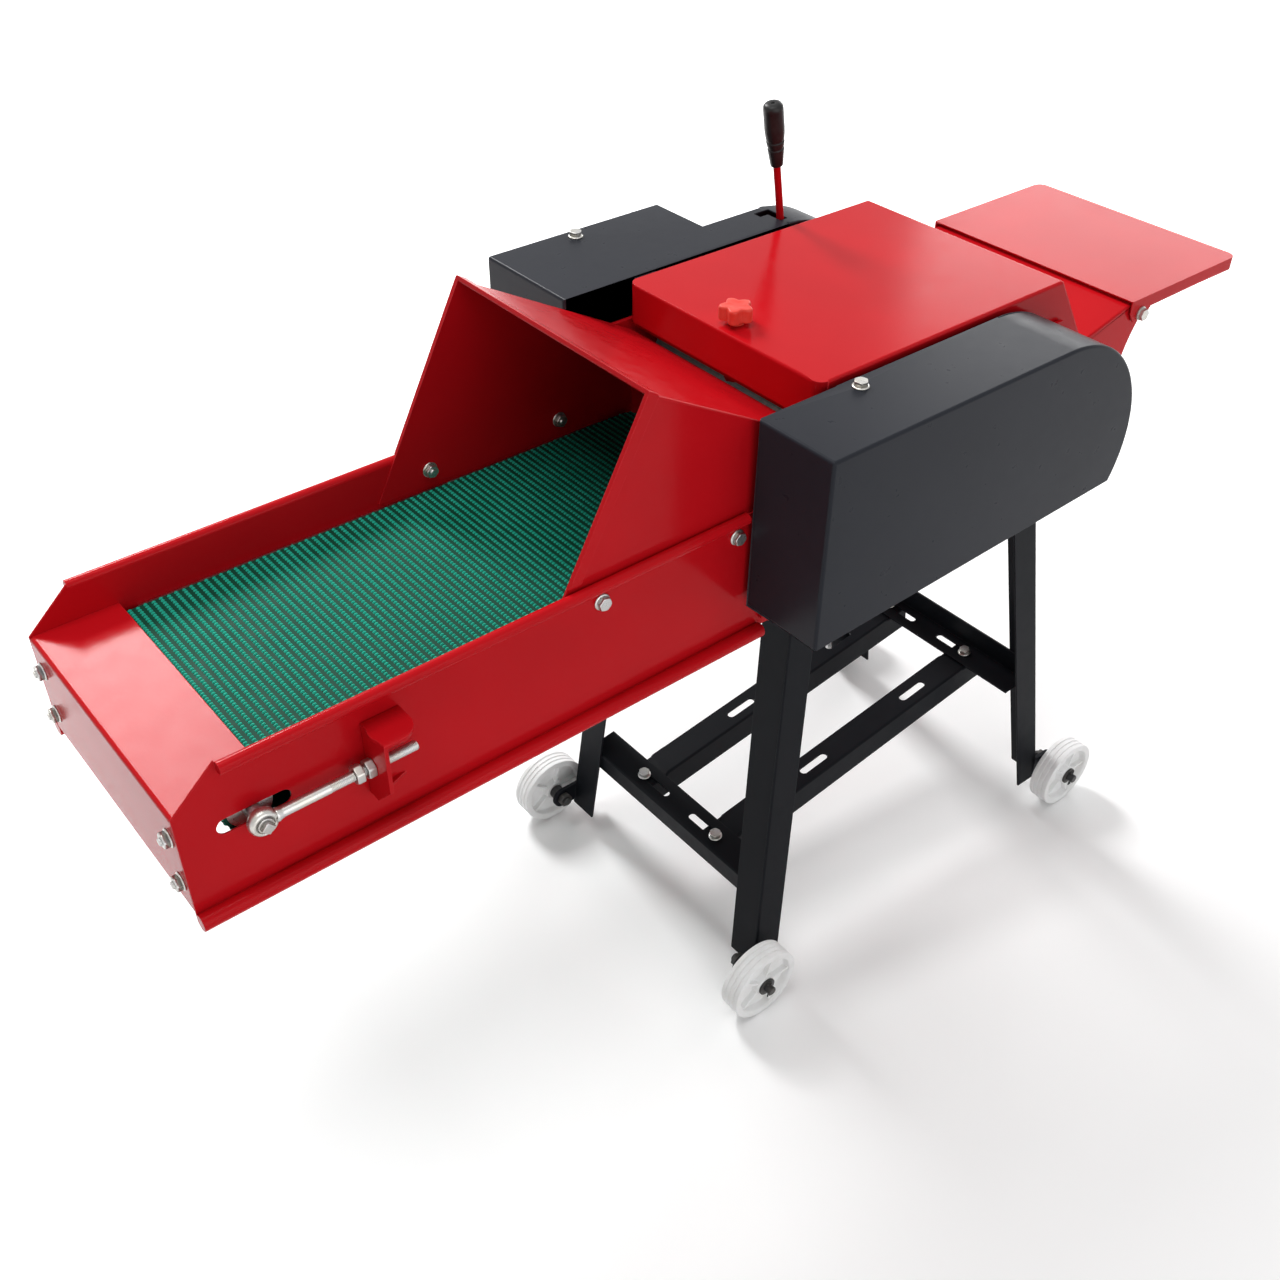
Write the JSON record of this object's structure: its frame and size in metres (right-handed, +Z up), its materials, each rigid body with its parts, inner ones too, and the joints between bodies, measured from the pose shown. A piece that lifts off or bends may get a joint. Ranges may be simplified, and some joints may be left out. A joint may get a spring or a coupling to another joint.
{
  "type": "chaff cutter",
  "caption": "Belt-fed chaff cutter on a wheeled stand: open trough with ribbed belt, feed hood, guarded knife drum, hinged top cover, gear lever and discharge flap.",
  "frame": {"origin": "middle of the overall size in plan, on the floor under the wheels", "axes": "+X along the feed from the trough to the outlet, +Y towards the gear guard and lever, +Z up"},
  "size_m": [1.446, 0.561, 0.9665],
  "materials": {
    "red_paint": "gloss",
    "black_paint": "satin",
    "zinc_steel": "satin",
    "bare_steel": "satin",
    "black_steel": "satin",
    "cast_iron": "matte",
    "bronze": "satin",
    "green_belt": "matte",
    "red_plastic": "gloss",
    "black_plastic": "satin",
    "white_nylon": "satin"
  },
  "bodies": {
    "frame": {"trough_panel_near": "red_paint", "trough_panel_far": "red_paint", "trough_front_cap": "red_paint", "feed_hood": "red_paint", "side_plate_near": "red_paint", "side_plate_far": "red_paint", "knife_bar": "red_paint", "drum_concave": "red_paint", "discharge_chute": "red_paint", "tension_brackets": "red_paint", "latch_bar": "red_paint", "cover_hinges": "red_paint", "belt_guard": "black_paint", "gear_guard": "black_paint", "guard_brackets": "black_paint", "front_legs": "black_paint", "rear_legs": "black_paint", "front_cross_member": "black_paint", "rear_cross_member": "black_paint", "motor_rails": "black_paint", "flange_bolts": "zinc_steel", "flap_pivots": "zinc_steel", "tension_nuts": "zinc_steel", "belt_bed": "bare_steel", "bed_knife": "bare_steel", "gear_pins": "bare_steel", "lever_bracket": "bare_steel", "cutter_bearings": "cast_iron", "conveyor_belt": "green_belt", "roller_bushes": "bronze", "wheel_axles": "black_steel"},
    "cutter": {"cutter_shaft": "bare_steel", "cutter_spiders": "cast_iron", "cutter_knives": "bare_steel", "knife_bolts": "bare_steel", "drive_pulley": "cast_iron"},
    "pinion": {"sliding_pinion": "cast_iron"},
    "counter": {"counter_gear": "cast_iron"},
    "upper_roller": {"upper_feed_roller": "bare_steel", "upper_drive_gear": "cast_iron", "upper_pair_gear": "cast_iron"},
    "lower_roller": {"lower_feed_roller": "bare_steel", "lower_pair_gear": "cast_iron", "conveyor_gear": "cast_iron"},
    "idler": {"idler_gear": "cast_iron"},
    "belt_drive": {"drive_roller": "bare_steel", "drive_roller_gear": "cast_iron"},
    "tensioner": {"front_axle": "zinc_steel", "tension_rods": "zinc_steel"},
    "belt_front": {"front_roller": "zinc_steel"},
    "cover": {"top_cover": "red_paint"},
    "knob": {"cover_knob": "red_plastic"},
    "flap": {"discharge_flap": "red_paint"},
    "lever": {"gear_lever": "red_paint", "lever_grip": "black_plastic"},
    "fork": {"shift_fork": "cast_iron"},
    "front_near_wheel": {"wheel_front_near": "white_nylon"},
    "front_far_wheel": {"wheel_front_far": "white_nylon"},
    "rear_near_wheel": {"wheel_rear_near": "white_nylon"},
    "rear_far_wheel": {"wheel_rear_far": "white_nylon"}
  },
  "joints": [
    {"name": "cutter_turn", "type": "hinge", "parent": "frame", "child": "cutter", "pos_m": [0.243, -0.0225, 0.68], "axis": [0, 1, 0], "continuous": true},
    {"name": "counter_turn", "type": "hinge", "parent": "frame", "child": "counter", "pos_m": [0.14349, -0.0225, 0.67014], "axis": [0, 1, 0], "continuous": true},
    {"name": "upper_roller_turn", "type": "hinge", "parent": "frame", "child": "upper_roller", "pos_m": [0.056, -0.0225, 0.7143], "axis": [0, 1, 0], "continuous": true},
    {"name": "lower_roller_turn", "type": "hinge", "parent": "frame", "child": "lower_roller", "pos_m": [0.056, -0.0225, 0.6293], "axis": [0, 1, 0], "continuous": true},
    {"name": "idler_turn", "type": "hinge", "parent": "frame", "child": "idler", "pos_m": [0.01853, -0.0225, 0.67995], "axis": [0, 1, 0], "continuous": true},
    {"name": "belt_drive_turn", "type": "hinge", "parent": "frame", "child": "belt_drive", "pos_m": [-0.024, -0.0225, 0.642], "axis": [0, 1, 0], "continuous": true},
    {"name": "tension_slide", "type": "slide", "parent": "frame", "child": "tensioner", "axis": [-1, 0, 0], "range_m": [-0.012, 0.012], "deforming": ["conveyor_belt"]},
    {"name": "belt_front_turn", "type": "hinge", "parent": "tensioner", "child": "belt_front", "pos_m": [-0.646, -0.0225, 0.642], "axis": [0, 1, 0], "continuous": true},
    {"name": "cover_open", "type": "hinge", "parent": "frame", "child": "cover", "pos_m": [0.432, -0.0225, 0.742], "axis": [0, 1, 0], "range_deg": [0, 100]},
    {"name": "knob_turn", "type": "hinge", "parent": "cover", "child": "knob", "pos_m": [0.013, -0.0225, 0.822], "axis": [0, 0, 1], "continuous": true},
    {"name": "flap_tilt", "type": "hinge", "parent": "frame", "child": "flap", "pos_m": [0.529, -0.0225, 0.737], "axis": [0, 1, 0], "range_deg": [-5, 70]},
    {"name": "lever_shift", "type": "hinge", "parent": "frame", "child": "lever", "pos_m": [0.26, 0.1595, 0.762], "axis": [-1, 0, 0], "range_deg": [0, 20]},
    {"name": "fork_slide", "type": "slide", "parent": "frame", "child": "fork", "axis": [0, 1, 0], "range_m": [-0.01419, 0.0003]},
    {"name": "pinion_slide", "type": "slide", "parent": "cutter", "child": "pinion", "axis": [0, 1, 0], "range_m": [-0.01419, 0.0003]},
    {"name": "front_near_wheel_turn", "type": "hinge", "parent": "frame", "child": "front_near_wheel", "pos_m": [-0.097, -0.2425, 0.05], "axis": [0, 1, 0], "continuous": true},
    {"name": "front_far_wheel_turn", "type": "hinge", "parent": "frame", "child": "front_far_wheel", "pos_m": [-0.097, 0.1975, 0.05], "axis": [0, 1, 0], "continuous": true},
    {"name": "rear_near_wheel_turn", "type": "hinge", "parent": "frame", "child": "rear_near_wheel", "pos_m": [0.501, -0.2425, 0.05], "axis": [0, 1, 0], "continuous": true},
    {"name": "rear_far_wheel_turn", "type": "hinge", "parent": "frame", "child": "rear_far_wheel", "pos_m": [0.501, 0.1975, 0.05], "axis": [0, 1, 0], "continuous": true}
  ],
  "couplings": [
    {"joint": "counter_turn", "follows": "cutter_turn", "ratio": -0.38889},
    {"joint": "upper_roller_turn", "follows": "cutter_turn", "ratio": 0.18855},
    {"joint": "lower_roller_turn", "follows": "cutter_turn", "ratio": -0.18855},
    {"joint": "idler_turn", "follows": "cutter_turn", "ratio": 0.3064},
    {"joint": "belt_drive_turn", "follows": "cutter_turn", "ratio": -0.22283},
    {"joint": "belt_front_turn", "follows": "cutter_turn", "ratio": -0.22283},
    {"joint": "fork_slide", "follows": "lever_shift", "m_per_rad": -0.039797},
    {"joint": "pinion_slide", "follows": "lever_shift", "m_per_rad": -0.039797}
  ]
}
